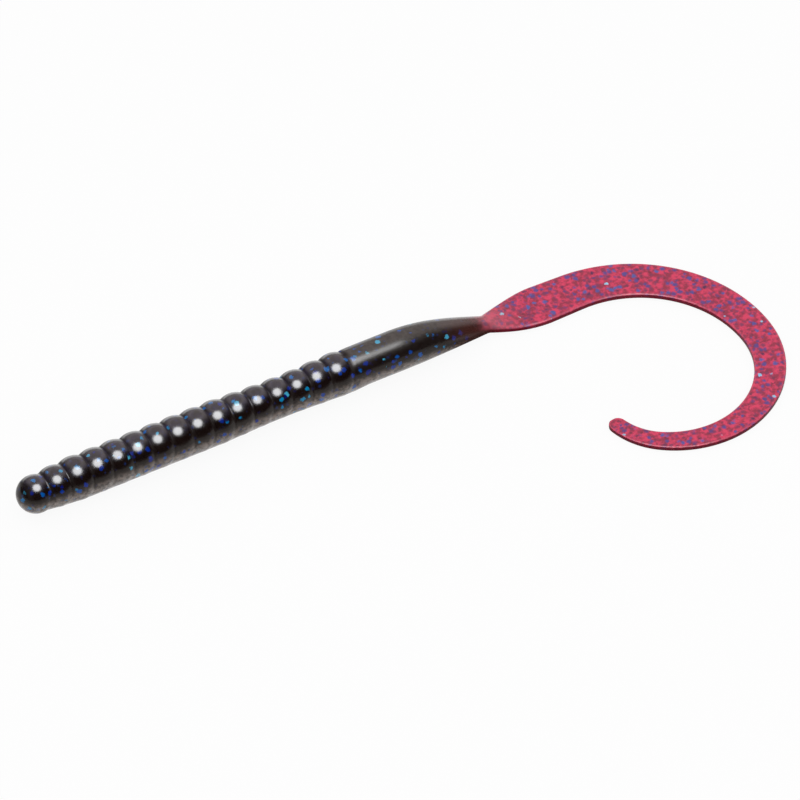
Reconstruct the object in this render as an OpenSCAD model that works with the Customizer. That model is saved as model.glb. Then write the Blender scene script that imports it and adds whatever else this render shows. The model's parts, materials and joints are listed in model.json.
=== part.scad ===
// Soft plastic worm with a ringed body and a curled ribbon tail, lying on its belly.
// X runs from the nose to the tail, Z is up, and z = 0 is the surface that it lies on.
// The origin is on the belly, under the middle ring.
// The worm is one soft moulding in two colours. It is split here where it bends, at each
// groove, along the smooth rear and along the tail, and a short web bridges each split.

/* [Ringed body] */
// Number of rings, the round nose included
ring_count = 16; // [8:1:19]
// Distance from one ring to the next
ring_pitch = 4.1; // [3.4:0.1:5]
// Diameter of a full ring over its crown
ring_d = 8.3; // [7.4:0.1:10]
// Diameter of the round nose
nose_d = 7.2; // [6:0.1:8.8]
// How much thinner in radius the thinnest ring is, just ahead of the smooth rear
neck_slim = 0.35; // [0:0.05:0.5]
// How far the plain core lies inside the crowns
core_inset = 0.3; // [0.2:0.05:0.6]
// How far the core sits below the ring axis, so that the grooves fade towards the belly
core_drop = 0.4; // [0.1:0.05:0.5]
// Depth of the flat under the rings, which the belly rests on
belly_flat = 0.3; // [0.1:0.05:0.5]
// Length of the web at each split
web_l = 0.8; // [0.5:0.1:1]

/* [Smooth rear] */
// Length from the last groove to the waist
rear_l = 29.2; // [22:0.1:36]
// Largest diameter of the smooth rear
rear_d = 7.8; // [6.4:0.1:9.4]
// Distance over which the rear swells from the core of the last ring
swell_l = 4; // [2:0.5:6]
// Distance from the last groove to the start of the taper
shoulder_l = 10; // [6:0.5:12]
// Width of the waist, where the tail starts
waist_w = 3.8; // [3:0.1:5.2]
// Height of the waist
waist_h = 2.8; // [2.2:0.1:4.4]
// Depth of the flat under the smooth rear and the tail
rest_flat = 0.05; // [0.02:0.01:0.1]

/* [Ribbon tail] */
// Straight length of the tail behind the waist
lead_l = 18.3; // [14:0.1:26]
// Radius of the wide first bend, at the middle of the ribbon
sweep_r = 25; // [18:0.5:32]
// Angle of the first bend
sweep_angle = 90; // [60:1:110]
// Radius of the closer hook behind it
hook_r = 18.5; // [14:0.1:24]
// Angle of the hook
hook_angle = 125; // [90:1:140]
// Radius of the last, tightest bend, which ends at the tip
curl_r = 12.6; // [8:0.1:18]
// Angle of the last bend
curl_angle = 47; // [10:1:60]
// Greatest width of the ribbon
fan_w = 9.2; // [7:0.1:12]
// Distance from the waist to the greatest width
fan_l = 11.5; // [8:0.5:16]
// Distance behind the waist over which the tail thins to a ribbon
thin_l = 8; // [5:0.5:12]
// Width where the hook starts
hook_w = 6.5; // [4.5:0.1:8]
// Width at the tip, before the rounding
tip_w = 3.2; // [2.4:0.1:5]
// Thickness of the ribbon near the waist
ribbon_t = 1.4; // [0.8:0.05:1.8]
// Thickness of the ribbon at the tip
tip_t = 1.1; // [0.6:0.05:1.4]
// Number of spans that the tail is split into
tail_spans = 8; // [5:1:8]

/* [Hidden] */
$fn = 64;
body_colour = [0.07, 0.05, 0.07];
tail_colour = [0.74, 0.16, 0.28];

// Places along the ringed body
ring_r = ring_d / 2;
core_r = ring_r - core_inset;
neck_ring = ring_count - 3;
neck_reach = 2.6;
axis_z = ring_r - belly_flat;
origin_ring = floor(ring_count / 2);
nose_tip_x = (1 - origin_ring) * ring_pitch - nose_d / 2;
last_groove_x = (ring_count + 0.5 - origin_ring) * ring_pitch;

// Lengths along the middle of the smooth rear and the tail, counted from the last groove
sweep_l = sweep_r * sweep_angle * PI / 180;
hook_l = hook_r * hook_angle * PI / 180;
curl_l = curl_r * curl_angle * PI / 180;
sweep_q = rear_l + lead_l;
hook_q = sweep_q + sweep_l;
curl_q = hook_q + hook_l;
tip_q = curl_q + curl_l;
tail_l = tip_q - rear_l;
tip_round = tip_w / 2;
taper_q = shoulder_l + web_l;
waist_q = (taper_q + rear_l) / 2;

// Fineness of the lofted rear and tail
section_sides = 24;
rear_step = 1.5;
tail_step = 2;
tip_angles = [15 : 15 : 75];
// Squareness of the ribbon's section, where 2 is a plain ellipse
round_power = 2;
ribbon_power = 6;

function two_digits(i) = i < 10 ? str("0", i) : str(i);
function ring_name(i) = str("ring_", two_digits(i));
function groove_web_name(i) = str("groove_web_", two_digits(i));
function tail_name(i) = str("tail_", two_digits(i));
function tail_web_name(i) = str("tail_web_", two_digits(i));

// Rings count from the nose, and groove i lies behind ring i
function ring_x(i) = (i - origin_ring) * ring_pitch;
function groove_x(i) = ring_x(i) + ring_pitch / 2;
function slimming(i) = neck_slim * max(0, 1 - pow((i - neck_ring) / neck_reach, 2));
function full_radius(i) = i == 1 ? nose_d / 2 : i == 2 ? (nose_d + ring_d) / 4 : ring_r;
function ring_radius(i) = full_radius(i) - slimming(i);
// The core of the nose sits higher, so that its front end stays inside the bead
function core_z(i) = axis_z - (i == 1 ? min(core_drop, core_inset / 2) : core_drop);

// Middle line of the rear and the tail at distance q behind the last groove:
// straight, then the sweep, the hook and the curl, which all turn to the right
function turn(q) =
    q <= sweep_q ? 0
    : q <= hook_q ? (q - sweep_q) / sweep_r * 180 / PI
    : q <= curl_q ? sweep_angle + (q - hook_q) / hook_r * 180 / PI
    : sweep_angle + hook_angle + (q - curl_q) / curl_r * 180 / PI;
function left(t) = [sin(t), cos(t)];
sweep_centre = [last_groove_x + sweep_q, -sweep_r];
hook_centre = sweep_centre + (sweep_r - hook_r) * left(sweep_angle);
curl_centre = hook_centre + (hook_r - curl_r) * left(sweep_angle + hook_angle);
function middle(q) =
    q <= sweep_q ? [last_groove_x + q, 0]
    : q <= hook_q ? sweep_centre + sweep_r * left(turn(q))
    : q <= curl_q ? hook_centre + hook_r * left(turn(q))
    : curl_centre + curl_r * left(turn(q));

function mix(a, b, share) = a + (b - a) * min(1, max(0, share));

// Size of the smooth rear across or up: it swells from the core, runs on and tapers to the waist
function rear_size(q, waist_size) =
    q < swell_l ? mix(2 * core_r, rear_d, sin(90 * q / swell_l))
    : q < shoulder_l ? rear_d
    : mix(waist_size, rear_d, cos(90 * (q - shoulder_l) / (rear_l - shoulder_l)));

// Width of the ribbon: it fans out from the waist, narrows evenly and ends in a round tip
function ribbon_width(s) =
    s < fan_l ? mix(waist_w, fan_w, sin(90 * s / fan_l))
    : s < hook_q - rear_l ? mix(fan_w, hook_w, (s - fan_l) / (hook_q - rear_l - fan_l))
    : mix(hook_w, tip_w, (s - hook_q + rear_l) / (hook_l + curl_l));
function tip_share(s) =
    let (into_tip = max(0, s - tail_l + tip_round) / tip_round)
    sqrt(max(0, 1 - into_tip * into_tip));

// Thickness of the ribbon: it thins quickly behind the waist and then slowly to the tip
function ribbon_thickness(s) =
    let (unthinned = 1 - min(1, s / thin_l))
    mix(ribbon_t, tip_t, s / tail_l) + (waist_h - ribbon_t) * unthinned * unthinned;

function width(q) =
    q < rear_l ? rear_size(q, waist_w) : ribbon_width(q - rear_l) * tip_share(q - rear_l);
function height(q) = q < rear_l ? rear_size(q, waist_h) : ribbon_thickness(q - rear_l);
function power(q) = mix(round_power, ribbon_power, (q - rear_l) / fan_l);

// One closed section, a superellipse whose lowest part is flattened on the table
function rounded(v, n) = sign(v) * pow(abs(v), 2 / n);
function section(q) =
    let (
        p = middle(q),
        across = left(turn(q)),
        w = width(q),
        h = height(q),
        n = power(q),
        mid_z = h / 2 - rest_flat
    )
    [for (k = [0 : section_sides - 1])
        let (
            a = 360 * (k + 0.5) / section_sides,
            xy = p + w / 2 * rounded(cos(a), n) * across
        )
        [xy[0], xy[1], max(0, mid_z + h / 2 * rounded(sin(a), n))]
    ];

// Even stations from one distance to another, no further apart than the step
function stations(q0, q1, step) =
    let (count = ceil((q1 - q0) / step))
    [for (i = [0 : count]) q0 + (q1 - q0) * i / count];

// Where the tail is split: split 0 is the waist
function split_q(i) = rear_l + tail_l * i / tail_spans;

// Solid through the sections at the given stations
module loft(qs) {
    last = len(qs) - 1;
    n = section_sides;
    points = [for (q = qs) each section(q)];
    walls = [for (i = [0 : last - 1]) for (k = [0 : n - 1])
        let (a = i * n + k, b = i * n + (k + 1) % n)
        each [[a, a + n, b + n], [a, b + n, b]]
    ];
    front = [for (k = [0 : n - 1]) k];
    back = [for (k = [n - 1 : -1 : 0]) last * n + k];
    polyhedron(points, concat(walls, [front, back]));
}

module bead(i) {
    translate([ring_x(i), 0, axis_z]) sphere(ring_radius(i));
}

// The plain core of ring i between two places along the body
module core(i, x0, x1) {
    translate([x0, 0, core_z(i)])
        rotate([0, 90, 0])
            cylinder(r = ring_radius(i) - core_inset, h = x1 - x0);
}

// What lies between two places along the body and above the table
module between(x0, x1) {
    translate([x0, -ring_d, 0]) cube([x1 - x0, 2 * ring_d, 2 * ring_d]);
}

module nose_ring() {
    x0 = nose_tip_x - web_l;
    x1 = groove_x(1) - web_l / 2;
    color(body_colour)
        union() {
            intersection() {
                bead(1);
                between(x0, x1);
            }
            intersection() {
                core(1, ring_x(1), x1);
                between(x0, x1);
            }
        }
}

module ring(i) {
    x0 = groove_x(i - 1) + web_l / 2;
    x1 = groove_x(i) - web_l / 2;
    color(body_colour)
        intersection() {
            union() {
                bead(i);
                core(i, x0, x1);
            }
            between(x0, x1);
        }
}

// The web in groove i joins ring i to the next ring
module groove_web(i) {
    x0 = groove_x(i) - web_l / 2;
    x1 = groove_x(i) + web_l / 2;
    color(body_colour)
        intersection() {
            union() {
                bead(i);
                bead(i + 1);
                core(i, x0, x1);
            }
            between(x0, x1);
        }
}

// The web in the last groove joins the last ring to the smooth rear
module rear_web() {
    x0 = last_groove_x - web_l / 2;
    x1 = last_groove_x + web_l / 2;
    color(body_colour)
        intersection() {
            core(ring_count, x0, x1);
            between(x0, x1);
        }
}

module shoulder() {
    color(body_colour) loft(stations(web_l / 2, taper_q - web_l / 2, rear_step));
}

module shoulder_web() {
    color(body_colour) loft(stations(taper_q - web_l / 2, taper_q + web_l / 2, web_l));
}

module taper() {
    color(body_colour) loft(stations(taper_q + web_l / 2, waist_q - web_l / 2, rear_step));
}

module taper_web() {
    color(body_colour) loft(stations(waist_q - web_l / 2, waist_q + web_l / 2, web_l));
}

module waist() {
    color(body_colour) loft(stations(waist_q + web_l / 2, rear_l - web_l / 2, rear_step));
}

module waist_web() {
    color(tail_colour) loft(stations(rear_l - web_l / 2, rear_l + web_l / 2, web_l / 2));
}

// Span i of the tail, from split i - 1 to split i
module tail_span(i) {
    q0 = split_q(i - 1) + web_l / 2;
    q1 = split_q(i) - web_l / 2;
    color(tail_colour) loft(stations(q0, q1, tail_step));
}

module tail_web(i) {
    q0 = split_q(i) - web_l / 2;
    q1 = split_q(i) + web_l / 2;
    color(tail_colour) loft(stations(q0, q1, web_l));
}

module tail_tip() {
    q0 = split_q(tail_spans - 1) + web_l / 2;
    q1 = tip_q - tip_round;
    rounding = [for (a = tip_angles) q1 + tip_round * sin(a)];
    color(tail_colour) loft(concat(stations(q0, q1, tail_step), rounding));
}

nose_ring();
for (i = [2 : ring_count]) ring(i);
for (i = [1 : ring_count - 1]) groove_web(i);
rear_web();
shoulder();
shoulder_web();
taper();
taper_web();
waist();
waist_web();
for (i = [1 : tail_spans - 1]) tail_span(i);
for (i = [1 : tail_spans - 1]) tail_web(i);
tail_tip();
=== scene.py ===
import json
import math

import bpy
import numpy as np
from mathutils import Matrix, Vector

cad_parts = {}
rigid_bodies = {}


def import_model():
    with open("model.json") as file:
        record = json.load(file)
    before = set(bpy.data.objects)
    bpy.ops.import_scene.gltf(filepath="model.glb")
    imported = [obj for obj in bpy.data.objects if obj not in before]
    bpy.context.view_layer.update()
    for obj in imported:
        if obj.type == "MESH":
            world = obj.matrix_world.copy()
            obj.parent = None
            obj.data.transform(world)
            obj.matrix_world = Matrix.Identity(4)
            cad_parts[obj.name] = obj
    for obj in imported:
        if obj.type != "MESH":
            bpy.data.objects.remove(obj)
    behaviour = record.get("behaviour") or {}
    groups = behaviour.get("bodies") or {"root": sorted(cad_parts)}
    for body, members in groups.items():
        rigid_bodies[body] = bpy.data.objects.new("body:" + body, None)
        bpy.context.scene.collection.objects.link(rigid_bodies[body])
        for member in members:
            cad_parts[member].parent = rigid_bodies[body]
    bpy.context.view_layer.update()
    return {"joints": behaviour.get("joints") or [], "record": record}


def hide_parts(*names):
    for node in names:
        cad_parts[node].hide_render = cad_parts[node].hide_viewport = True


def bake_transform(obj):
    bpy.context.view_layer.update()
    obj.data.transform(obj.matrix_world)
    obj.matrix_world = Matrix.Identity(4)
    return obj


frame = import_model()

MM = 0.001

# Sizes in millimetres, the same as in part.scad
RING_COUNT, RING_PITCH, RING_D, NOSE_D = 16, 4.1, 8.3, 7.2
NECK_RING, NECK_SLIM, NECK_REACH = RING_COUNT - 3, 0.35, 2.6
CORE_INSET, CORE_DROP, BELLY_FLAT, WEB_L = 0.3, 0.4, 0.3, 0.8
REAR_L, REAR_D, SWELL_L, SHOULDER_L = 29.2, 7.8, 4.0, 10.0
WAIST_W, WAIST_H, REST_FLAT = 3.8, 2.8, 0.05
LEAD_L, SWEEP_R, HOOK_R, CURL_R = 18.3, 25.0, 18.5, 12.6
SWEEP_ANGLE = math.radians(90)
HOOK_ANGLE = math.radians(125)
CURL_ANGLE = math.radians(47)
FAN_W, FAN_L, THIN_L, HOOK_W, TIP_W = 9.2, 11.5, 8.0, 6.5, 3.2
RIBBON_T, TIP_T, TAIL_SPANS = 1.4, 1.1, 8
ROUND_POWER, RIBBON_POWER = 2.0, 6.0

# Sizes that follow from them. A name that ends in Q is a distance behind the last groove.
AXIS_Z = RING_D / 2 - BELLY_FLAT
CORE_D = RING_D - 2 * CORE_INSET
ORIGIN_RING = RING_COUNT // 2
LAST_GROOVE_X = (RING_COUNT + 0.5 - ORIGIN_RING) * RING_PITCH
SWEEP_Q = REAR_L + LEAD_L
HOOK_Q = SWEEP_Q + SWEEP_R * SWEEP_ANGLE
CURL_Q = HOOK_Q + HOOK_R * HOOK_ANGLE
TIP_Q = CURL_Q + CURL_R * CURL_ANGLE
TAIL_L = TIP_Q - REAR_L
TIP_ROUND = TIP_W / 2
TAPER_Q = SHOULDER_L + WEB_L
WAIST_Q = (TAPER_Q + REAR_L) / 2

# The rings: their distance from the last groove, their radius and how low their core sits
RING_NUMBERS = np.arange(1, RING_COUNT + 1)
RING_Q = (RING_NUMBERS - ORIGIN_RING) * RING_PITCH - LAST_GROOVE_X
FULL_RADII = [NOSE_D / 2, (NOSE_D + RING_D) / 4] + [RING_D / 2] * (RING_COUNT - 2)
SLIMMING = NECK_SLIM * np.maximum(0, 1 - ((RING_NUMBERS - NECK_RING) / NECK_REACH) ** 2)
RING_RADII = np.array(FULL_RADII) - SLIMMING
CORE_DROPS = np.array([CORE_INSET / 2] + [CORE_DROP] * (RING_COUNT - 1))

# The front of the smooth rear: where it starts to round off, over what length and how deep, how
# steeply it falls ahead of that, and how far back the low core fills it
FRONT_Q, FRONT_ROUND, FRONT_DROP, FRONT_SLOPE, FRONT_FILL = 1.0, 1.4, 0.45, 1.6, 4.0
# How steeply the rings fall behind the last groove, and where they are joined with the rear
RINGS_SLOPE, JOIN_START_Q, JOIN_END_Q = 0.6, -2.5, 3.5
# The end of the tip: how much of its round is followed, and the powers that thin it
TIP_SHARE, TIP_BLUNT, TIP_THIN = 0.9995, 6, 0.25

# Fineness of the skin and softness of its edges
SIDES, RING_STEPS, REAR_STEP, TAIL_STEP = 72, 22, 0.45, 0.6
GROOVE_CROWDING = 1.6
NOSE_ANGLES = np.radians(np.linspace(2, 90, 23))
TIP_ANGLES = np.radians(np.linspace(0, 89, 25)[1:])
GROOVE_SOFT, BELLY_SOFT, GROOVE_REACH = 0.04, 0.06, 0.6
SHORTEST_NORMAL = 1e-12

# Half the length of the bend at a joint, which sets each joint's two ends; less than the distance to the
# piece's seams
GROOVE_BEND, REAR_BEND, TAIL_BEND = 1.7, 4.4, 5.3


def smooth_max(a, b, soft):
    return (a + b + np.sqrt((a - b) ** 2 + soft * soft)) / 2


def mix(a, b, share):
    return a + (b - a) * np.clip(share, 0, 1)


def smooth_step(share):
    t = np.clip(share, 0, 1)
    return t * t * (3 - 2 * t)


# The middle line. q is the distance behind the last groove, negative along the rings.
def turn(q):
    sweep = np.clip(q - SWEEP_Q, 0, HOOK_Q - SWEEP_Q) / SWEEP_R
    hook = np.clip(q - HOOK_Q, 0, CURL_Q - HOOK_Q) / HOOK_R
    curl = np.clip(q - CURL_Q, 0, None) / CURL_R
    return sweep + hook + curl


def left_of(turned):
    return np.stack([np.sin(turned), np.cos(turned)], -1)


SWEEP_CENTRE = np.array([LAST_GROOVE_X + SWEEP_Q, -SWEEP_R])
HOOK_CENTRE = SWEEP_CENTRE + (SWEEP_R - HOOK_R) * left_of(SWEEP_ANGLE)
CURL_CENTRE = HOOK_CENTRE + (HOOK_R - CURL_R) * left_of(SWEEP_ANGLE + HOOK_ANGLE)


def middle(q):
    q = np.asarray(q, float)
    across = left_of(turn(q))
    straight = np.stack([LAST_GROOVE_X + q, np.zeros_like(q)], -1)
    q = q[..., None]
    hook = np.where(q <= CURL_Q, HOOK_CENTRE + HOOK_R * across, CURL_CENTRE + CURL_R * across)
    bend = np.where(q <= HOOK_Q, SWEEP_CENTRE + SWEEP_R * across, hook)
    return np.where(q <= SWEEP_Q, straight, bend)


def rear_size(q, waist_size):
    """Size of the smooth rear across or up, from the core of the last ring to the waist."""
    swell = mix(CORE_D, REAR_D, np.sin(np.pi / 2 * np.clip(q / SWELL_L, 0, 1)))
    tapered = np.clip((q - SHOULDER_L) / (REAR_L - SHOULDER_L), 0, 1)
    taper = mix(waist_size, REAR_D, np.cos(np.pi / 2 * tapered))
    return np.where(q < SHOULDER_L, swell, taper)


def ringed_radius(q, a):
    """Radius of the rings about their axis: bead beside bead on a core that sits a little low."""
    from_ring = q - RING_Q[:, None, None]
    beads = np.sqrt(np.maximum(RING_RADII[:, None, None] ** 2 - from_ring ** 2, 0))
    beads = np.sort(beads, axis=0)
    both = np.where(q < RING_Q[0], beads[-1], smooth_max(beads[-1], beads[-2], GROOVE_SOFT))
    core_r = np.interp(q, RING_Q, RING_RADII) - CORE_INSET
    drop = np.interp(q, RING_Q, CORE_DROPS)
    core = -drop * np.sin(a) + np.sqrt(core_r ** 2 - (drop * np.cos(a)) ** 2)
    ahead = np.clip((RING_Q[0] - q) / (NOSE_D / 2), 0, 1)
    return smooth_max(both, core * np.sqrt(1 - ahead ** 2), GROOVE_SOFT)


def body_radius(q, a):
    """Radius of the rings and of the smooth rear, which starts with a rounded shoulder."""
    ahead = np.clip((FRONT_Q - q) / FRONT_ROUND, 0, 1)
    rear = rear_size(q, WAIST_W) / 2 - FRONT_DROP * (1 - np.sqrt(1 - ahead ** 2))
    rear = rear - FRONT_SLOPE * np.clip(FRONT_Q - FRONT_ROUND - q, 0, None)
    low_core = -CORE_DROP * np.sin(a) + CORE_D / 2
    rear = rear + np.maximum(0, low_core - rear) * (q > 0) * smooth_step(1 - q / FRONT_FILL)
    rings = ringed_radius(q, a) - RINGS_SLOPE * np.clip(q, 0, None)
    both = smooth_max(rings, rear, GROOVE_SOFT)
    return np.where(q > JOIN_END_Q, rear, np.where(q < JOIN_START_Q, rings, both))


def ribbon_width(s):
    """Width of the ribbon at a distance s behind the waist."""
    fan = mix(WAIST_W, FAN_W, np.sin(np.pi / 2 * np.clip(s / FAN_L, 0, 1)))
    run = mix(FAN_W, HOOK_W, (s - FAN_L) / (HOOK_Q - REAR_L - FAN_L))
    hook = mix(HOOK_W, TIP_W, (s + REAR_L - HOOK_Q) / (TIP_Q - HOOK_Q))
    return np.where(s < FAN_L, fan, np.where(s < HOOK_Q - REAR_L, run, hook))


def ribbon_height(s):
    unthinned = 1 - np.clip(s / THIN_L, 0, 1)
    return mix(RIBBON_T, TIP_T, s / TAIL_L) + (WAIST_H - RIBBON_T) * unthinned ** 2


def squared(v, power):
    return np.sign(v) * np.abs(v) ** (2 / power)


def skin_grid(q):
    """Points of the whole skin in millimetres: (stations, sides, 3)."""
    q = q[:, None]
    a = (2 * np.pi * (np.arange(SIDES) + 0.5) / SIDES)[None, :]
    s = q - REAR_L
    into_tip = np.clip((s - TAIL_L + TIP_ROUND) / TIP_ROUND, 0, TIP_SHARE)
    width = np.where(s < 0, rear_size(q, WAIST_W), ribbon_width(s))
    half_w = width / 2 * np.sqrt(1 - into_tip ** 2)
    half_h = np.where(s < 0, rear_size(q, WAIST_H), ribbon_height(s)) / 2
    tip_h = half_h * (1 - into_tip ** TIP_BLUNT) ** TIP_THIN
    power = mix(ROUND_POWER, RIBBON_POWER, s / FAN_L)

    ringed = q < SHOULDER_L
    radius = body_radius(q, a)
    y = np.where(ringed, radius * np.cos(a), half_w * squared(np.cos(a), power))
    z = np.where(ringed, radius * np.sin(a), tip_h * squared(np.sin(a), power))
    z = z + np.where(ringed, AXIS_Z, half_h - REST_FLAT)
    z = (z + np.sqrt(z * z + BELLY_SOFT ** 2)) / 2
    xy = middle(q) + y[..., None] * left_of(turn(q))
    return np.concatenate([xy, z[..., None]], -1)


def even(q0, q1, step):
    return list(np.linspace(q0, q1, math.ceil((q1 - q0) / step) + 1))


def across_groove(q0, q1):
    """Stations from the crown of one ring to the next, closest together in the groove."""
    v = np.linspace(-1, 1, RING_STEPS + 1)
    return list((q0 + q1) / 2 + (q1 - q0) / 2 * np.sign(v) * np.abs(v) ** GROOVE_CROWDING)


def split_q(i):
    """Where the ribbon is split into its spans."""
    return REAR_L + TAIL_L * i / TAIL_SPANS


# Where the pieces meet: the middle of each CAD body
REAR_SEAMS = [TAPER_Q / 2, (TAPER_Q + WAIST_Q) / 2, (WAIST_Q + REAR_L) / 2]
TAIL_SEAMS = [(split_q(i) + split_q(i + 1)) / 2 for i in range(TAIL_SPANS - 1)]
SEAMS = list(RING_Q[1:]) + REAR_SEAMS + TAIL_SEAMS


def stations():
    """Stations from the nose to the tip, and the row of each seam."""
    qs = [RING_Q[0] - NOSE_D / 2 * math.cos(a) for a in NOSE_ANGLES]
    rows = []
    for q0, q1 in zip([RING_Q[0]] + SEAMS, SEAMS):
        if q1 <= RING_Q[-1]:
            qs += across_groove(q0, q1)[1:]
        elif q0 <= RING_Q[-1]:
            qs += across_groove(q0, RING_PITCH / 2)[1:]
            qs += even(RING_PITCH / 2, q1, REAR_STEP)[1:]
        else:
            qs += even(q0, q1, REAR_STEP if q0 < REAR_L else TAIL_STEP)[1:]
        rows.append(len(qs) - 1)
    qs += even(SEAMS[-1], TIP_Q - TIP_ROUND, TAIL_STEP)[1:]
    qs += [TIP_Q - TIP_ROUND + TIP_ROUND * math.sin(a) for a in TIP_ANGLES]
    return np.array(qs), rows


def grid_normals(grid):
    """Vertex normals over the whole skin, so that no seam shows between two pieces."""
    beside = np.roll(grid, -1, axis=1)
    face = np.cross(beside[:-1] - grid[1:], beside[1:] - grid[:-1])
    both_sides = face + np.roll(face, 1, axis=1)
    total = np.zeros_like(grid)
    total[:-1] += both_sides
    total[1:] += both_sides
    length = np.linalg.norm(total, axis=-1, keepdims=True)
    return total / np.maximum(length, SHORTEST_NORMAL)


def in_groove(q):
    """1 at the bottom of a groove, 0 from GROOVE_REACH to each side."""
    away = np.abs(q - RING_PITCH * np.round(np.minimum(q, 0) / RING_PITCH))
    return smooth_step(1 - away / GROOVE_REACH)


def add_attribute(mesh, name, values):
    """A number or a vector at each point of the mesh, for its material to read."""
    values = np.array(values, np.float32)
    kind, field = ("FLOAT", "value") if values.ndim == 1 else ("FLOAT_VECTOR", "vector")
    attribute = mesh.attributes.new(name, kind, "POINT")
    attribute.data.foreach_set(field, values.ravel())


def make_skin(name, grid, normals, qs, r0, r1):
    """The piece of the skin from row r0 to row r1, closed at the nose and at the tip."""
    points = list(grid[r0:r1 + 1].reshape(-1, 3))
    norms = list(normals[r0:r1 + 1].reshape(-1, 3))
    along = list(np.repeat(qs[r0:r1 + 1], SIDES))
    faces = []
    for i in range(r1 - r0):
        for k in range(SIDES):
            a, b = i * SIDES + k, i * SIDES + (k + 1) % SIDES
            faces.append((a, b, b + SIDES, a + SIDES))
    closed_rows = []
    if r0 == 0:
        closed_rows.append((r0, -1))
    if r1 == len(qs) - 1:
        closed_rows.append((r1, 1))
    for row, way in closed_rows:
        pole = len(points)
        points.append(grid[row].mean(0))
        out = normals[row].mean(0)
        norms.append(out / np.linalg.norm(out))
        along.append(qs[row])
        first = (row - r0) * SIDES
        for k in range(SIDES):
            faces.append((pole, first + k, first + (k + 1) % SIDES)[::way])
    mesh = bpy.data.meshes.new(name)
    mesh.from_pydata([Vector(p) * MM for p in points], [], faces)
    add_attribute(mesh, "place_mm", points)
    add_attribute(mesh, "along_mm", along)
    add_attribute(mesh, "groove", in_groove(np.array(along)))
    add_attribute(mesh, "up", [n[2] for n in norms])
    mesh.polygons.foreach_set("use_smooth", [True] * len(mesh.polygons))
    mesh.normals_split_custom_set_from_vertices([tuple(n) for n in norms])
    piece = bpy.data.objects.new(name, mesh)
    bpy.context.scene.collection.objects.link(piece)
    return piece


# Flakes: the smallest as a share of the largest, and how far and how finely their edges wander
SMALLEST_FLAKE, WOBBLE, WOBBLE_SCALE, WOBBLE_DETAIL = 0.65, (0.6, 0.6, 0.6), 1.8, 1.0


class Nodes:
    """Short calls for building one material's node tree."""

    def __init__(self, name):
        self.material = bpy.data.materials.new(name)
        self.material.use_nodes = True
        self.tree = self.material.node_tree
        self.shader = self.tree.nodes["Principled BSDF"]

    def add(self, kind, inputs=None, **settings):
        node = self.tree.nodes.new("ShaderNode" + kind)
        for key, value in settings.items():
            setattr(node, key, value)
        for key, value in (inputs or {}).items():
            if isinstance(value, bpy.types.NodeSocket):
                self.tree.links.new(value, node.inputs[key])
            else:
                node.inputs[key].default_value = value
        return node

    def set(self, **inputs):
        """Values and links of the shader itself; a socket's spaces are written as underscores."""
        for key, value in inputs.items():
            socket = self.shader.inputs[key.replace("_", " ")]
            if isinstance(value, bpy.types.NodeSocket):
                self.tree.links.new(value, socket)
            else:
                socket.default_value = value

    def attribute(self, name, output="Fac"):
        return self.add("Attribute", attribute_name=name).outputs[output]

    def math(self, operation, a, b=0.0):
        return self.add("Math", {0: a, 1: b}, operation=operation).outputs[0]

    def noise(self, place, scale, detail):
        return self.add("TexNoise", {"Vector": place, "Scale": scale, "Detail": detail}).outputs["Fac"]

    def ranged(self, value, low, high, to_low=0.0, to_high=1.0):
        limits = {"Value": value, "From Min": low, "From Max": high, "To Min": to_low, "To Max": to_high}
        return self.add("MapRange", limits, interpolation_type="SMOOTHSTEP").outputs[0]

    def between(self, factor, a, b):
        """A number from a to b."""
        return self.add("Mix", {"Factor": factor, 2: a, 3: b}).outputs[0]

    def blend(self, factor, a, b):
        """A colour from a to b."""
        return self.add("Mix", {"Factor": factor, 6: a, 7: b}, data_type="RGBA").outputs[2]

    def ramp(self, value, stops):
        node = self.add("ValToRGB", {"Fac": value})
        elements = node.color_ramp.elements
        while len(elements) < len(stops):
            elements.new(0.5)
        for element, (place, colour) in zip(elements, stops):
            element.position = place
            element.color = (*colour, 1)
        return node.outputs["Color"]

    def wobbled(self, place):
        """The place moved a little this way and that, so that no flake is a perfect disc."""
        grain = {"Vector": place, "Scale": WOBBLE_SCALE, "Detail": WOBBLE_DETAIL}
        drift = self.add("TexNoise", grain).outputs["Color"]
        shift = {0: drift, 1: WOBBLE, 2: place}
        return self.add("VectorMath", shift, operation="MULTIPLY_ADD").outputs[0]

    def flakes(self, place, spacing, radius, share, offset, soft):
        """A layer of glitter in the plastic: (mask, one random value for each flake)."""
        moved = self.add("VectorMath", {0: place, 1: offset}, operation="ADD").outputs[0]
        cells = self.add("TexVoronoi", {"Vector": moved, "Scale": 1 / spacing})
        pick = self.add("SeparateColor", {"Color": cells.outputs["Color"]})
        sizes = {"Value": pick.outputs[1], "To Min": SMALLEST_FLAKE * radius, "To Max": radius}
        size = self.add("MapRange", sizes).outputs[0]
        across = self.math("MULTIPLY", cells.outputs["Distance"], spacing)
        disc = self.ranged(self.math("SUBTRACT", size, across), 0, soft)
        there = self.math("LESS_THAN", pick.outputs[0], share)
        return self.math("MULTIPLY", disc, there), pick.outputs[2]


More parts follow.
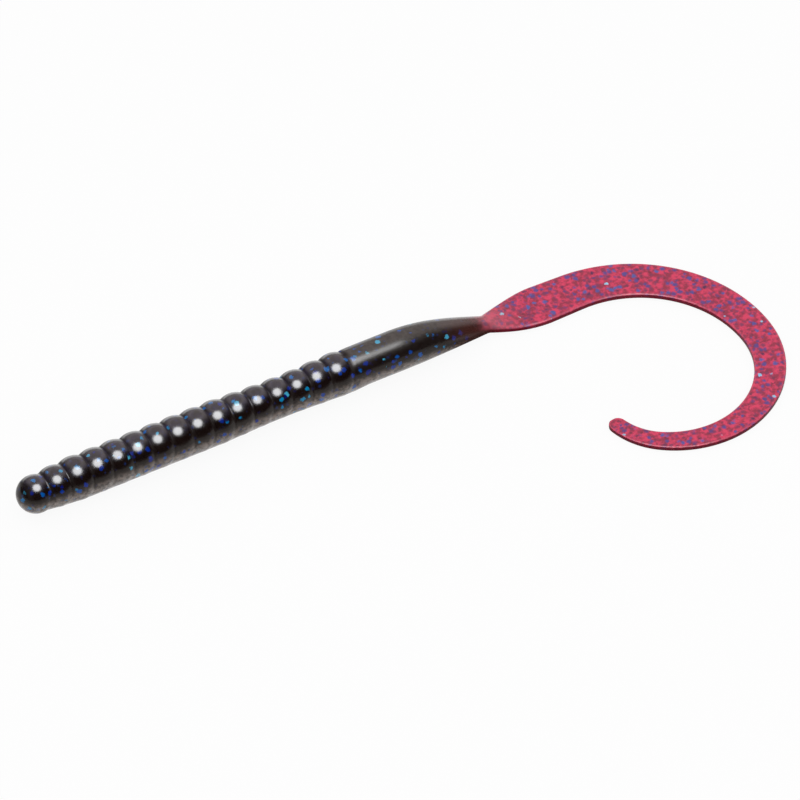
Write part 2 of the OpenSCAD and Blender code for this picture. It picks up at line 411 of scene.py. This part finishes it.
# Colours along a ramp
DARK_CLOUD = [(0.3, (0.0075, 0.0035, 0.0030)), (0.7, (0.0115, 0.0060, 0.0050))]
# Painted sheen: purple on the beads and brown on the rear, only on the upward faces
PURPLE_SHEEN_TINT = [(0.36, (0.009, 0.005, 0.006)), (0.64, (0.022, 0.016, 0.036))]
BROWN_SHEEN_TINT = [(0.36, (0.016, 0.010, 0.006)), (0.64, (0.040, 0.030, 0.024))]
# Painted reflection of the lit floor: a pale tan on the lower flanks
PAINTED_FLOOR_REFLECTION = [(0.38, (0.060, 0.044, 0.035)), (0.62, (0.245, 0.185, 0.155))]
RED_MOTTLE = [(0.36, (0.36, 0.050, 0.088)), (0.5, (0.60, 0.060, 0.120)), (0.62, (0.78, 0.070, 0.144))]
DIM_BLUE_FLAKE = [(0.0, (0.012, 0.008, 0.050)), (1.0, (0.010, 0.030, 0.120))]
BLUE_FLAKE = [
    (0.0, (0.002, 0.006, 0.150)), (0.35, (0.002, 0.030, 0.290)), (0.65, (0.002, 0.100, 0.400)),
    (0.9, (0.004, 0.230, 0.450)), (1.0, (0.080, 0.480, 0.680)),
]
DIM_VIOLET_FLAKE = [(0.0, (0.190, 0.042, 0.065)), (1.0, (0.270, 0.065, 0.150))]
VIOLET_FLAKE = [
    (0.0, (0.110, 0.040, 0.100)), (0.35, (0.140, 0.065, 0.210)), (0.75, (0.120, 0.085, 0.300)),
    (1.0, (0.095, 0.150, 0.450)),
]
SPARKLE = [(0.0, (0.120, 0.300, 0.750)), (1.0, (0.400, 0.750, 0.900))]

# Single colours
WAIST_BROWN = (0.065, 0.020, 0.016, 1)
# Painted sheen on the ribbon's root
PAINTED_ROOT_SHEEN = (0.560, 0.170, 0.210, 1)
# Painted light shining through the ribbon's thin rounded rim
PAINTED_RIM_LIGHT = (0.78, 0.130, 0.200, 1)
# Painted shade on the ribbon's upright walls
PAINTED_WALL_SHADE = (0.175, 0.009, 0.022, 1)
WARM_SHINE = (1.0, 0.94, 0.88, 1)

# Layers of flakes: spacing, radius and soft edge in millimetres, and the share of places that have one
DEEP_BLUE = {"spacing": 1.1, "radius": 0.5, "share": 0.5, "offset": (3.1, 7.7, 1.9), "soft": 0.3}
NEAR_BLUE = {"spacing": 1.35, "radius": 0.63, "share": 0.5, "offset": (11.3, 3.3, 5.3), "soft": 0.24}
DEEP_VIOLET = {"spacing": 0.9, "radius": 0.7, "share": 0.68, "offset": (1.7, 4.3, 8.9), "soft": 0.45}
NEAR_VIOLET = {"spacing": 1.1, "radius": 0.72, "share": 0.62, "offset": (5.9, 0.7, 3.7), "soft": 0.38}
BRIGHT = {"spacing": 2.6, "radius": 0.55, "share": 0.3, "offset": (2.3, 6.1, 0.4), "soft": 0.2}
DEEP_BLUE_SHOWS, DEEP_VIOLET_SHOWS, NEAR_VIOLET_SHOWS, RIM_LIGHT_SHOWS = 0.8, 0.9, 0.92, 0.4

# Noises: scale in waves to a millimetre, and detail
CLOUD, SPECKLE, MOTTLE = (0.35, 3.0), (1.2, 3.0), (1.1, 2.0)
ROUGH_NOISE, RIPPLE, BELLY_NOISE, WAIST_NOISE = (0.8, 4.0), (1.3, 2.0), (1.0, 3.0), (0.7, 2.0)
RIPPLE_STRENGTH, RIPPLE_HEIGHT = 0.4, 0.00005

# The gloss: the dark plastic has an oily film, and the ribbon is duller
DARK_SHINE, RED_SHINE, PLASTIC_IOR = 0.32, 0.06, 1.52
OIL_IOR, OIL_ROUGH = 2.0, 0.23
THIN_OIL, WAIST_OIL, FLAT_OIL, RIM_OIL = 0.58, 0.90, 0.12, 0.18
SMOOTH_ROUGH, REAR_ROUGH, FLANK_ROUGH, GROOVE_ROUGH = 0.22, 0.37, 0.26, 0.3

# Where one look runs into the next, from where to where: how far the skin faces up (names in UP),
# millimetres behind the last groove (Q), behind the red edge at the waist (EDGE), or noise.
# Where there are four values, the last two are what the range is turned into.
# The top tint and the pale tan placed on these two lines are painted light: a painted sheen on the top
# and a painted reflection of the lit floor below.
SHEEN_TINT_UP, FLANK_UP, FLOOR_REFLECTION_UP = (0.72, 0.95), (0.7, 0.4), (0.36, -0.08)
BROWN_SHEEN_Q, FLOOR_REFLECTION_RISE_Q = (-3.0, 3.0), (-1.0, 15.0, 0.0, 0.14)
RIM_IN_UP, RIM_OUT_UP, RIM_Q = (0.6, 0.85), (0.998, 0.96), (REAR_L + 4, REAR_L + 9)
# The first range here puts the painted sheen on the ribbon's root, the second the painted shade on its
# walls
ROOT_SHEEN_Q, WALL_SHADE_UP = (REAR_L + 8, REAR_L + 1, 0.0, 0.4), (0.65, 0.15, 0.0, 0.93)
ROUGH_PATCHES, BELLY_PATCHES = (0.3, 0.7, -0.05, 0.05), (0.38, 0.62, 0.15, 0.6)
OIL_CROWN_UP, OIL_BELLY_UP, BELLY_OIL_Q = (0.7, 0.82), (0.32, -0.20), (20.0, 9.0)
BEAD_OIL_UP, BEAD_END_Q = (0.955, 0.985, 1.0, THIN_OIL), (-0.9, -0.1)
REAR_OIL_Q = (0.1, 1.1, 0.0, THIN_OIL)
REAR_ROUGH_Q = (-0.6, 0.6, SMOOTH_ROUGH, REAR_ROUGH)
WAIST_ROUGH_Q = (20.0, REAR_L, REAR_ROUGH, SMOOTH_ROUGH)
WAIST_SLANT_UP = (-0.4, 0.9, -REAR_L - 1.6, -REAR_L + 1.0)
WAIST_PATCHES = (0.2, 0.8, -0.8, 0.8)
BROWN_EDGE, RED_EDGE = (-11.0, -1.8), (-2.6, 2.4)
WAIST_OIL_Q, RIBBON_OIL_Q = (15.5, 24.0, THIN_OIL, WAIST_OIL), (REAR_L - 2, REAR_L + 3)
DULL_UP, DULL_Q = (0.4, 0.0), (15.5, 22.0)
WAIST_SHINE_Q = (21.0, 29.0, DARK_SHINE, RED_SHINE)


def dark_colour(n, place, up, along):
    """Near-black brown plastic with blue flakes, some of them deep and dim; a painted sheen tints its
    top and a painted reflection of the lit floor makes it paler below.
    """
    base = n.ramp(n.noise(place, *CLOUD), DARK_CLOUD)
    speckle = n.noise(place, *SPECKLE)
    purple = n.ramp(speckle, PURPLE_SHEEN_TINT)
    brown = n.ramp(speckle, BROWN_SHEEN_TINT)
    # Painted sheen: a paler tint on the upward faces
    crown = n.blend(n.ranged(along, *BROWN_SHEEN_Q), purple, brown)
    base = n.blend(n.ranged(up, *SHEEN_TINT_UP), base, crown)
    # Painted reflection of the lit floor: paler tan on the lower flanks, starting lower towards the rear
    floor_reflection = n.ramp(speckle, PAINTED_FLOOR_REFLECTION)
    above_floor_reflection = n.math("ADD", up, n.ranged(along, *FLOOR_REFLECTION_RISE_Q))
    base = n.blend(n.ranged(above_floor_reflection, *FLOOR_REFLECTION_UP), base, floor_reflection)
    inside = n.wobbled(place)
    deep, pick = n.flakes(inside, **DEEP_BLUE)
    dim = n.ramp(pick, DIM_BLUE_FLAKE)
    base = n.blend(n.math("MULTIPLY", deep, DEEP_BLUE_SHOWS), base, dim)
    near, pick = n.flakes(inside, **NEAR_BLUE)
    return n.blend(near, base, n.ramp(pick, BLUE_FLAKE))


def rim_of(n, up, along):
    """1 along the rounded upper edge of the ribbon, 0 on its flat top, its walls and its thick root."""
    rim = n.math("MULTIPLY", n.ranged(up, *RIM_IN_UP), n.ranged(up, *RIM_OUT_UP))
    return n.math("MULTIPLY", rim, n.ranged(along, *RIM_Q))


def red_colour(n, place, up, along):
    """Red plastic crowded with dark specks and violet flakes, with a painted sheen that makes its root
    pale, painted light along its rounded rim and painted shade that darkens its walls.
    """
    base = n.ramp(n.noise(place, *MOTTLE), RED_MOTTLE)
    inside = n.wobbled(place)
    deep, pick = n.flakes(inside, **DEEP_VIOLET)
    dim = n.ramp(pick, DIM_VIOLET_FLAKE)
    base = n.blend(n.math("MULTIPLY", deep, DEEP_VIOLET_SHOWS), base, dim)
    near, pick = n.flakes(inside, **NEAR_VIOLET)
    base = n.blend(n.math("MULTIPLY", near, NEAR_VIOLET_SHOWS), base, n.ramp(pick, VIOLET_FLAKE))
    bright, pick = n.flakes(inside, **BRIGHT)
    base = n.blend(bright, base, n.ramp(pick, SPARKLE))
    # Painted sheen at the root
    base = n.blend(n.ranged(along, *ROOT_SHEEN_Q), base, PAINTED_ROOT_SHEEN)
    # Painted light along the rounded rim
    base = n.blend(n.math("MULTIPLY", rim_of(n, up, along), RIM_LIGHT_SHOWS), base, PAINTED_RIM_LIGHT)
    # Painted shade on the walls
    wall_shade = n.ranged(n.math("ABSOLUTE", up), *WALL_SHADE_UP)
    return n.blend(wall_shade, base, PAINTED_WALL_SHADE)


def finish_plastic(n, place, up, colour, smooth):
    """Soft gloss: faint ripples, and a roughness that is uneven and grows towards the flanks."""
    uneven = n.ranged(n.noise(place, *ROUGH_NOISE), *ROUGH_PATCHES)
    film = n.math("ADD", uneven, smooth)
    rough = n.between(n.ranged(up, *FLANK_UP), film, FLANK_ROUGH)
    ripples = {"Strength": RIPPLE_STRENGTH, "Distance": RIPPLE_HEIGHT, "Height": n.noise(place, *RIPPLE)}
    bump = n.add("Bump", ripples).outputs[0]
    n.set(Base_Color=colour, Roughness=rough, Normal=bump, IOR=PLASTIC_IOR)


def oil_film(n, up, crown, belly):
    """The film on the plastic, as thick as given on the crown and the belly, none on the flanks."""
    n.set(Coat_Roughness=OIL_ROUGH, Coat_IOR=OIL_IOR)
    above = n.math("MULTIPLY", n.ranged(up, *OIL_CROWN_UP), crown)
    below = n.math("MULTIPLY", n.ranged(up, *OIL_BELLY_UP), belly)
    n.set(Coat_Weight=n.math("MAXIMUM", above, below))


def belly_film(n, place, along):
    """Patchy along the rings, and gone towards the waist."""
    patchy = n.ranged(n.noise(place, *BELLY_NOISE), *BELLY_PATCHES)
    return n.math("MULTIPLY", patchy, n.ranged(along, *BELLY_OIL_Q))


def ribbon_film(n, up, along):
    """Thin on the flat of the ribbon, thicker along its rim."""
    return n.math("ADD", n.math("MULTIPLY", rim_of(n, up, along), RIM_OIL), FLAT_OIL)


def dark_plastic():
    n = Nodes("dark_plastic")
    place, up, along = n.attribute("place_mm", "Vector"), n.attribute("up"), n.attribute("along_mm")
    groove = n.attribute("groove")
    smooth = n.ranged(along, *REAR_ROUGH_Q)
    smooth = n.math("ADD", smooth, n.math("MULTIPLY", groove, GROOVE_ROUGH))
    finish_plastic(n, place, up, dark_colour(n, place, up, along), smooth)
    bead_film = n.ranged(up, *BEAD_OIL_UP)
    rear_film = n.ranged(along, *REAR_OIL_Q)
    crown = n.between(n.ranged(along, *BEAD_END_Q), bead_film, rear_film)
    crown = n.math("MULTIPLY", crown, n.math("SUBTRACT", 1.0, groove))
    oil_film(n, up, crown, belly_film(n, place, along))
    n.set(Specular_IOR_Level=DARK_SHINE, Specular_Tint=WARM_SHINE)
    return n.material


def red_plastic():
    n = Nodes("red_plastic")
    place, up, along = n.attribute("place_mm", "Vector"), n.attribute("up"), n.attribute("along_mm")
    finish_plastic(n, place, up, red_colour(n, place, up, along), SMOOTH_ROUGH)
    oil_film(n, up, ribbon_film(n, up, along), 0.0)
    n.set(Specular_IOR_Level=RED_SHINE, Specular_Tint=WARM_SHINE)
    return n.material


def waist_plastic():
    """The two colours run into each other at the waist through a dark red-brown, sooner on the top."""
    n = Nodes("waist_plastic")
    place, up, along = n.attribute("place_mm", "Vector"), n.attribute("up"), n.attribute("along_mm")
    edge = n.math("ADD", along, n.ranged(up, *WAIST_SLANT_UP))
    edge = n.math("ADD", edge, n.ranged(n.noise(place, *WAIST_NOISE), *WAIST_PATCHES))
    brown = n.blend(n.ranged(edge, *BROWN_EDGE), dark_colour(n, place, up, along), WAIST_BROWN)
    colour = n.blend(n.ranged(edge, *RED_EDGE), brown, red_colour(n, place, up, along))
    finish_plastic(n, place, up, colour, n.ranged(along, *WAIST_ROUGH_Q))
    dark_film = n.ranged(along, *WAIST_OIL_Q)
    crown = n.between(n.ranged(along, *RIBBON_OIL_Q), dark_film, ribbon_film(n, up, along))
    oil_film(n, up, crown, belly_film(n, place, along))
    dull = n.math("MULTIPLY", n.ranged(up, *DULL_UP), n.ranged(along, *DULL_Q))
    shine = n.math("MULTIPLY", n.ranged(along, *WAIST_SHINE_Q), n.math("SUBTRACT", 1.0, dull))
    n.set(Specular_IOR_Level=shine, Specular_Tint=WARM_SHINE)
    return n.material


def joint_frames():
    """Position and heading of each joint along the middle line, nose to tip, in millimetres."""
    splits = [split_q(i) for i in range(TAIL_SPANS)]
    for q in [*(RING_Q + RING_PITCH / 2), TAPER_Q, WAIST_Q, *splits]:
        x, y = middle(q)
        t = float(turn(q))
        yield Vector((x, y, 0)), Vector((math.cos(t), -math.sin(t), 0))


def bend_half(k):
    """Half the length of the bend at joint k, counted from the nose."""
    if k < RING_COUNT:
        return GROOVE_BEND
    if k < RING_COUNT + len(REAR_SEAMS):
        return REAR_BEND
    return TAIL_BEND


def make_worm():
    qs, rows = stations()
    grid = skin_grid(qs)
    normals = grid_normals(grid)
    dark, red, waist = dark_plastic(), red_plastic(), waist_plastic()
    bodies = frame["record"]["behaviour"]["bodies"]
    ends_of_pieces = [0] + rows + [len(qs) - 1]
    for k, (joint, (pos, heading)) in enumerate(zip(frame["joints"], joint_frames())):
        name, parent, child = joint["name"], joint["parent"], joint["child"]
        piece = make_skin("skin_" + name, grid, normals, qs, ends_of_pieces[k], ends_of_pieces[k + 1])
        in_tail = name.startswith("tail") or name == "waist_flap"
        if name in ("taper_lift", "waist_flap"):
            piece.data.materials.append(waist)
        else:
            piece.data.materials.append(red if in_tail else dark)
        half = bend_half(k)
        ends = [(parent, (pos - heading * half) * MM), (child, (pos + heading * half) * MM)]
        if name == "taper_lift":
            ends.reverse()  # the bend at this joint loses precision when it starts from the parent
        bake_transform(piece)
        solids = [node for node in bodies[child] if "_web" not in node]
        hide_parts(joint["deforming_nodes"][0]["node"], *solids)
        if k == 0:
            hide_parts("nose_ring")


# The camera: the point it aims at, where that point lies in the picture, and how far off it stands
AIM = Vector((40, -20, 2)) * MM
AIM_PIXEL = (422.9, 438.0)
AZIMUTH, ELEVATION = math.radians(-28.67), math.radians(47)
DISTANCE, FOCAL_PIXELS, IMAGE_PIXELS, SENSOR = 1.5, 8253.0, 800, 36
NEAREST, FARTHEST = 0.05, 100
LEVEL = math.cos(ELEVATION)
BACK = Vector((math.sin(AZIMUTH) * LEVEL, -math.cos(AZIMUTH) * LEVEL, math.sin(ELEVATION)))
RIGHT = Vector((math.cos(AZIMUTH), math.sin(AZIMUTH), 0))
UP = BACK.cross(RIGHT)

# The stage, in metres: a white floor that the eye sees through to a glowing white tray, one round
# softbox above and a studio that is dark round the camera
FLOOR_Z, FLOOR_HALF, TRAY_DEPTH, TRAY_WALL = -0.02 * MM, 4.0, 0.15, 0.25
FLOOR_GLOW, TRAY_GLOW, SHADOW_REACH, SHADOW_DEPTH = 0.92, 0.97, 0.03, 0.94
FLOOR_WHITE, FLOOR_ROUGH, FLOOR_SHINE = (0.88, 0.88, 0.88, 1), 0.9, 0.1
SOFTBOX_SIZE, SOFTBOX_POWER, SOFTBOX_AWAY, SOFTBOX_COLOUR = 0.48, 3.3, 0.6, (0.95, 0.97, 1.0)
SOFTBOX_LIFT, SOFTBOX_ASIDE = math.radians(35), math.radians(3)
STUDIO_COLOUR = (1.0, 0.91, 0.91, 1)
STUDIO_LIGHT = {"From Min": 0.6, "From Max": 1.0, "To Min": 0.0, "To Max": 0.66}


def make_camera():
    data = bpy.data.cameras.new("camera")
    camera = bpy.data.objects.new("camera", data)
    bpy.context.scene.collection.objects.link(camera)
    data.sensor_width = SENSOR
    data.lens = FOCAL_PIXELS * data.sensor_width / IMAGE_PIXELS
    per_pixel = DISTANCE / FOCAL_PIXELS
    right = (IMAGE_PIXELS / 2 - AIM_PIXEL[0]) * per_pixel
    up = (AIM_PIXEL[1] - IMAGE_PIXELS / 2) * per_pixel
    camera.location = AIM + RIGHT * right + UP * up + BACK * DISTANCE
    camera.rotation_mode = "QUATERNION"
    camera.rotation_quaternion = BACK.to_track_quat("Z", "Y")
    data.clip_start, data.clip_end = NEAREST, FARTHEST
    bpy.context.scene.camera = camera


def make_softbox():
    lamp = bpy.data.lights.new("softbox", "AREA")
    lamp.shape = "DISK"
    lamp.size = SOFTBOX_SIZE
    lamp.energy = SOFTBOX_POWER
    lamp.color = SOFTBOX_COLOUR
    softbox = bpy.data.objects.new("softbox", lamp)
    bpy.context.scene.collection.objects.link(softbox)
    lifted = BACK * math.cos(SOFTBOX_LIFT) + UP * math.sin(SOFTBOX_LIFT)
    way = lifted * math.cos(SOFTBOX_ASIDE) + RIGHT * math.sin(SOFTBOX_ASIDE)
    softbox.location = AIM + way * SOFTBOX_AWAY
    softbox.rotation_mode = "QUATERNION"
    softbox.rotation_quaternion = way.to_track_quat("Z", "Y")


def make_world():
    """A studio that is bright overhead and dark round the camera."""
    world = bpy.data.worlds.new("studio")
    bpy.context.scene.world = world
    world.use_nodes = True
    nodes, links = world.node_tree.nodes, world.node_tree.links
    way = nodes.new("ShaderNodeTexCoord")
    facing = nodes.new("ShaderNodeVectorMath")
    facing.operation = "DOT_PRODUCT"
    facing.inputs[1].default_value = UP
    links.new(way.outputs["Generated"], facing.inputs[0])
    strength = nodes.new("ShaderNodeMapRange")
    strength.interpolation_type = "SMOOTHSTEP"
    for key, value in STUDIO_LIGHT.items():
        strength.inputs[key].default_value = value
    links.new(facing.outputs["Value"], strength.inputs["Value"])
    light = nodes["Background"]
    light.inputs["Color"].default_value = STUDIO_COLOUR
    links.new(strength.outputs[0], light.inputs["Strength"])


def glowing_white(n, glow_share):
    """White to the eye and in reflections, and a plain white surface to all other light."""
    n.set(Base_Color=FLOOR_WHITE, Roughness=FLOOR_ROUGH, Specular_IOR_Level=FLOOR_SHINE)
    glow = n.add("Emission", {"Color": (1, 1, 1, 1), "Strength": 1.0})
    path = n.add("LightPath").outputs
    seen = n.math("ADD", path["Is Camera Ray"], path["Is Glossy Ray"])
    seen = n.math("ADD", seen, path["Is Transmission Ray"])
    white = n.math("MULTIPLY", n.math("MINIMUM", seen, 1.0), glow_share)
    return n.add("MixShader", {0: white, 1: n.shader.outputs[0], 2: glow.outputs[0]}).outputs[0]


def seen_through(n, surface):
    """The surface as light meets it from above; to the eye and from below only a faint shadow."""
    open_sky = n.add("AmbientOcclusion", {"Distance": SHADOW_REACH}, samples=1).outputs["AO"]
    clear = n.add("BsdfTransparent", {"Color": n.ranged(open_sky, 0.0, 1.0, SHADOW_DEPTH, 1.0)})
    eye = n.add("LightPath").outputs["Is Camera Ray"]
    below = n.add("NewGeometry").outputs["Backfacing"]
    through = n.math("MAXIMUM", eye, below)
    return n.add("MixShader", {0: through, 1: surface, 2: clear.outputs[0]}).outputs[0]


def add_to_stage(name, points, faces, n, surface):
    mesh = bpy.data.meshes.new(name)
    mesh.from_pydata(points, [], faces)
    piece = bpy.data.objects.new(name, mesh)
    bpy.context.scene.collection.objects.link(piece)
    n.tree.links.new(surface, n.tree.nodes["Material Output"].inputs["Surface"])
    mesh.materials.append(n.material)


def make_floor():
    """The floor, and the white tray under it that the eye sees, so that a tail bent down still shows."""
    corners = [(x * FLOOR_HALF, y * FLOOR_HALF) for x, y in ((-1, -1), (1, -1), (1, 1), (-1, 1))]
    n = Nodes("floor")
    surface = seen_through(n, glowing_white(n, FLOOR_GLOW))
    add_to_stage("floor", [(x, y, FLOOR_Z) for x, y in corners], [(0, 1, 2, 3)], n, surface)
    n = Nodes("tray")
    points = [(x, y, z) for z in (FLOOR_Z - TRAY_DEPTH, FLOOR_Z + TRAY_WALL) for x, y in corners]
    walls = [(k, k + 4, (k + 1) % 4 + 4, (k + 1) % 4) for k in range(4)]
    add_to_stage("tray", points, [(0, 1, 2, 3), *walls], n, glowing_white(n, TRAY_GLOW))


bpy.context.scene.view_settings.view_transform = "Standard"
make_worm()
make_camera()
make_softbox()
make_world()
make_floor()
